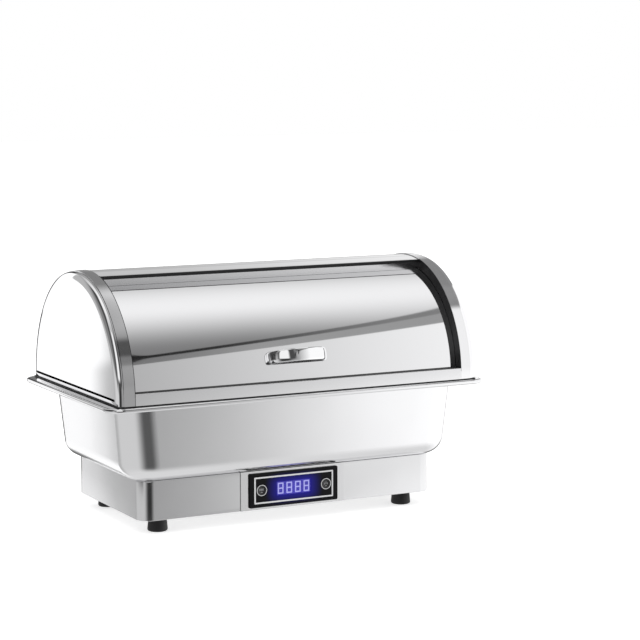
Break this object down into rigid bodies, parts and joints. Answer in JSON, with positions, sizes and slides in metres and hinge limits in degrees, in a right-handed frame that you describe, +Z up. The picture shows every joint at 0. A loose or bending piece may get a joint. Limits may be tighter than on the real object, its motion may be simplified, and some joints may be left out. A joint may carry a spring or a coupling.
{
  "type": "electric chafing dish",
  "caption": "Electric food warmer with a water bath, a hanging food pan, an arch cover that lifts off, a roll-top lid and a control panel on its heated base.",
  "frame": {"origin": "under the middle of the dish, at the feet's underside", "axes": "+X along the length, towards the right end seen from the front, +Y to the back, +Z up"},
  "size_m": [0.62, 0.3584, 0.377],
  "materials": {
    "polished_steel": "polished stainless steel",
    "satin_steel": "satin stainless steel",
    "aluminium": "plain rolled sheet",
    "black_gloss": "gloss black plastic",
    "black_rubber": "moulded rubber",
    "black_cable": "smooth cable sheath",
    "smoked_window": "smoked clear plastic",
    "blue_digits": "lit digits",
    "circuit_green": "lacquered circuit board",
    "pale_nylon": "moulded nylon"
  },
  "bodies": {
    "base": {"top_flange": "polished_steel", "water_pan": "polished_steel", "base_housing": "satin_steel", "bottom_plate": "aluminium", "foot_front_left": "black_rubber", "foot_front_right": "black_rubber", "foot_rear_left": "black_rubber", "foot_rear_right": "black_rubber", "foot_screw_front_left": "satin_steel", "foot_screw_front_right": "satin_steel", "foot_screw_rear_left": "satin_steel", "foot_screw_rear_right": "satin_steel", "heat_spreader": "aluminium", "heating_element": "satin_steel", "heat_shield": "satin_steel", "thermal_cutout": "satin_steel", "temperature_probe": "satin_steel", "control_plate": "satin_steel", "panel_bezel": "black_gloss", "display_window": "smoked_window", "display_digits": "blue_digits", "display_module": "black_gloss", "circuit_board": "circuit_green", "power_inlet": "black_gloss", "inlet_screw_left": "satin_steel", "inlet_screw_right": "satin_steel", "terminal_block": "pale_nylon", "inlet_lead": "black_cable", "control_loom": "black_cable"},
    "cover": {"arch_band_left": "polished_steel", "arch_band_right": "polished_steel", "end_cap_left": "polished_steel", "end_cap_right": "polished_steel", "guide_strip_left": "black_rubber", "guide_strip_right": "black_rubber", "pivot_bracket_left": "satin_steel", "pivot_bracket_right": "satin_steel", "pivot_pin_left": "satin_steel", "pivot_pin_right": "satin_steel", "pivot_bush_left": "pale_nylon", "pivot_bush_right": "pale_nylon", "front_sill": "polished_steel", "rear_sill": "polished_steel", "rear_cover": "polished_steel"},
    "lid": {"lid_shell": "polished_steel", "lid_arm_left": "satin_steel", "lid_arm_right": "satin_steel", "lid_handle": "polished_steel", "handle_screw_left": "satin_steel", "handle_screw_right": "satin_steel"},
    "food_pan": {"food_pan": "satin_steel"},
    "left_button": {"button_left": "black_gloss"},
    "right_button": {"button_right": "black_gloss"}
  },
  "joints": [
    {"name": "cover_lift", "type": "slide", "parent": "base", "child": "cover", "axis": [0, 0, 1], "range_m": [0, 0.2]},
    {"name": "lid_hinge", "type": "hinge", "parent": "cover", "child": "lid", "pos_m": [0, 0, 0.2055], "axis": [-1, 0, 0], "range_deg": [0, 54]},
    {"name": "food_pan_lift", "type": "slide", "parent": "base", "child": "food_pan", "axis": [0, 0, 1], "range_m": [0, 0.09]},
    {"name": "button_left_press", "type": "slide", "parent": "base", "child": "left_button", "axis": [0, 1, 0], "range_m": [0, 0.001], "stiffness_N_per_m": 300, "springref_m": -0.0005},
    {"name": "button_right_press", "type": "slide", "parent": "base", "child": "right_button", "axis": [0, 1, 0], "range_m": [0, 0.001], "stiffness_N_per_m": 300, "springref_m": -0.0005}
  ],
  "couplings": [
    {"joint": "food_pan_lift", "follows": "cover_lift", "ratio": 0.45}
  ]
}
